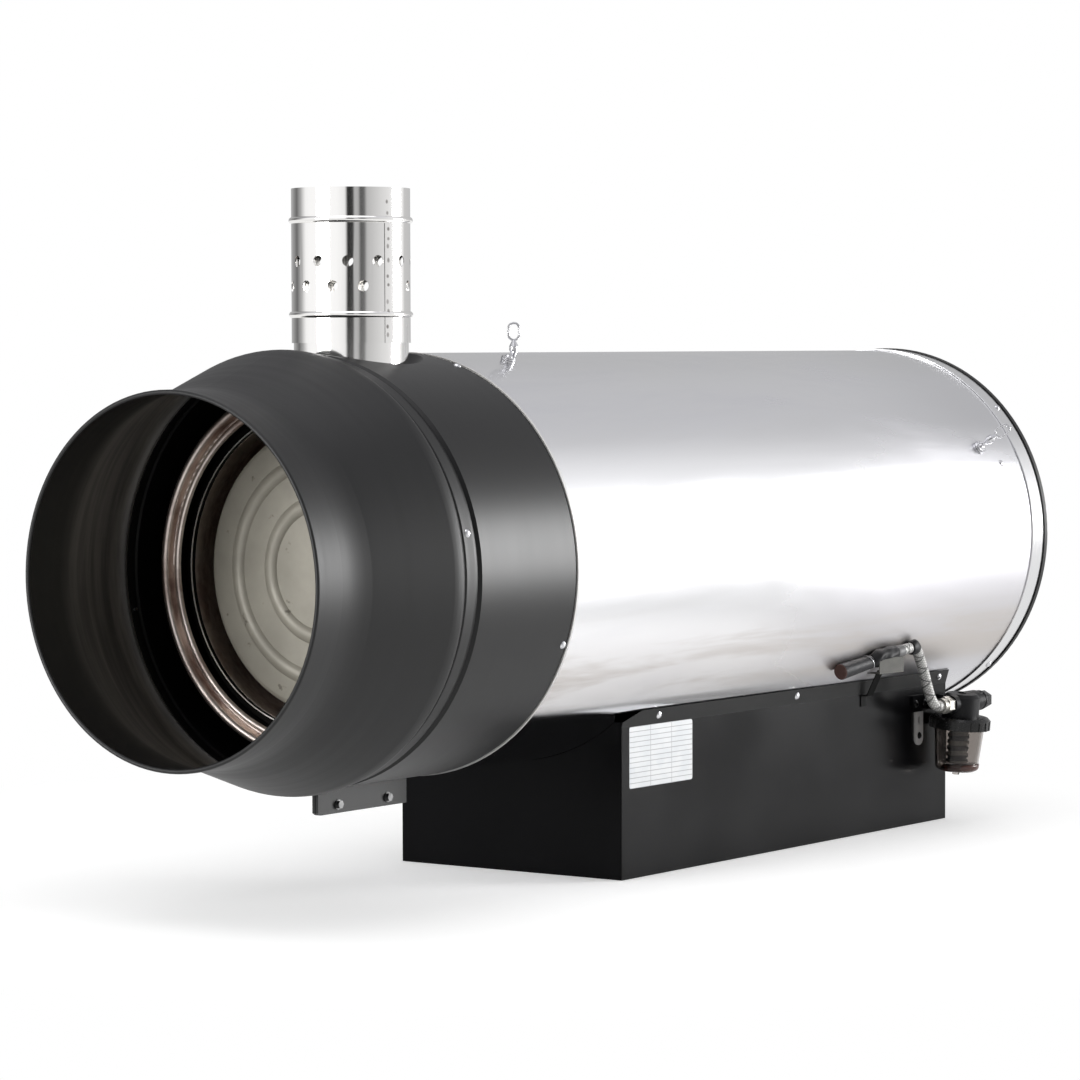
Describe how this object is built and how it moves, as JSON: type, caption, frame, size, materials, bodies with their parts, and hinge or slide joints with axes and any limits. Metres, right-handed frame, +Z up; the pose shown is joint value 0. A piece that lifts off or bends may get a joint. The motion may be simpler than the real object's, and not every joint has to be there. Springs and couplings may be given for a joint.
{
  "type": "indirect-fired diesel heater",
  "caption": "Long cylindrical indirect-fired air heater on a low box base, with flared outlet cone, vertical flue, rear fan, swivel hangers and a fuel filter with hose.",
  "frame": {"origin": "centre of the floor under the heater's whole length", "axes": "+Y along the cylinder towards the fan end, hot-air outlet at -Y, +Z up along the flue, +X towards the side with the fuel filter"},
  "size_m": [0.554, 1.692, 0.9],
  "materials": {
    "black_paint": "semi-gloss black paint",
    "stainless": "polished stainless sheet",
    "zinc": "bright zinc plate",
    "heat_tint": "heat-tinted steel",
    "scale_grey": "matt heat-resisting coat",
    "dark_steel": "plain dark steel",
    "aluminium": "cast aluminium",
    "copper": "drawn copper",
    "brass": "turned brass",
    "clear_bowl": "clear moulding",
    "black_plastic": "matt",
    "white_plastic": "matt",
    "lamp_lens": "clear tinted",
    "braid": "steel braid over rubber",
    "dark_rubber": "matt rubber",
    "olive_paint": "matt grey-olive paint"
  },
  "bodies": {
    "heater": {"outlet_cone": "black_paint", "flue_band": "black_paint", "band_flange_bolts": "zinc", "casing": "stainless", "shell_screws": "zinc", "rear_hoop": "stainless", "inlet_bellmouth": "black_paint", "fan_guard": "black_paint", "motor_mount": "zinc", "fan_motor": "dark_steel", "combustion_chamber": "dark_steel", "chamber_cap": "scale_grey", "heat_exchanger": "dark_steel", "exchanger_front_ring": "heat_tint", "exchanger_brackets": "heat_tint", "flue_stub": "stainless", "flue_pipe": "stainless", "base_pan": "black_paint", "rear_panel": "black_paint", "side_cover_right": "black_paint", "side_cover_left": "black_paint", "cover_screws": "zinc", "cradle": "black_paint", "burner_motor": "dark_steel", "blower_housing": "dark_steel", "fuel_pump": "aluminium", "ignition_transformer": "white_plastic", "control_box": "black_plastic", "burner_duct": "dark_steel", "burner_head": "brass", "nozzle_line": "copper", "suction_line": "copper", "filter_bracket": "zinc", "filter_strip": "zinc", "filter_head": "aluminium", "filter_lock_ring": "black_plastic", "filter_bowl": "clear_bowl", "filter_element": "white_plastic", "filter_plug": "aluminium", "hose_fitting": "brass", "fuel_hose": "braid", "hose_sleeve": "dark_rubber", "hose_tie": "dark_rubber", "hose_rest": "olive_paint", "hanger_posts": "zinc", "indicator_lamps": "lamp_lens", "thermostat_socket": "black_plastic", "cable_gland": "black_plastic"},
    "fan": {"fan_impeller": "aluminium"},
    "burner_rotor": {"blower_wheel": "aluminium", "pump_coupling": "white_plastic"},
    "selector": {"selector_knob": "black_plastic"},
    "reset": {"reset_button": "white_plastic"},
    "link_front_right": {"hanger_link_front_right": "zinc"},
    "eye_front_right": {"hanger_eye_front_right": "zinc"},
    "link_rear_right": {"hanger_link_rear_right": "zinc"},
    "eye_rear_right": {"hanger_eye_rear_right": "zinc"},
    "link_rear_left": {"hanger_link_rear_left": "zinc"},
    "eye_rear_left": {"hanger_eye_rear_left": "zinc"}
  },
  "joints": [
    {"name": "fan_spin", "type": "hinge", "parent": "heater", "child": "fan", "pos_m": [0, 0.769, 0.421], "axis": [0, 1, 0], "continuous": true},
    {"name": "burner_spin", "type": "hinge", "parent": "heater", "child": "burner_rotor", "pos_m": [-0.03, 0.494, 0.072], "axis": [0, 1, 0], "continuous": true},
    {"name": "selector_turn", "type": "hinge", "parent": "heater", "child": "selector", "pos_m": [-0.181, 0.524, 0.125], "axis": [-1, 0, 0], "range_deg": [-45, 45]},
    {"name": "reset_press", "type": "slide", "parent": "heater", "child": "reset", "axis": [1, 0, 0], "range_m": [0, 0.0025], "stiffness_N_per_m": 400},
    {"name": "link_turn_front_right", "type": "hinge", "parent": "heater", "child": "link_front_right", "pos_m": [0.0777, -0.257, 0.685], "axis": [0.2823, 0, 0.9593], "continuous": true},
    {"name": "eye_turn_front_right", "type": "hinge", "parent": "link_front_right", "child": "eye_front_right", "pos_m": [0.0777, -0.245, 0.699], "axis": [0, 0, 1], "continuous": true},
    {"name": "link_turn_rear_right", "type": "hinge", "parent": "heater", "child": "link_rear_right", "pos_m": [0.24254, 0.695, 0.55105], "axis": [0.8813, 0, 0.4726], "continuous": true},
    {"name": "eye_turn_rear_right", "type": "hinge", "parent": "link_rear_right", "child": "eye_rear_right", "pos_m": [0.25001, 0.71305, 0.56251], "axis": [0.6722, 0.484, 0.5603], "continuous": true},
    {"name": "link_turn_rear_left", "type": "hinge", "parent": "heater", "child": "link_rear_left", "pos_m": [-0.24254, 0.695, 0.55105], "axis": [-0.8813, 0, 0.4726], "continuous": true},
    {"name": "eye_turn_rear_left", "type": "hinge", "parent": "link_rear_left", "child": "eye_rear_left", "pos_m": [-0.25001, 0.71305, 0.56251], "axis": [-0.6722, 0.484, 0.5603], "continuous": true}
  ]
}
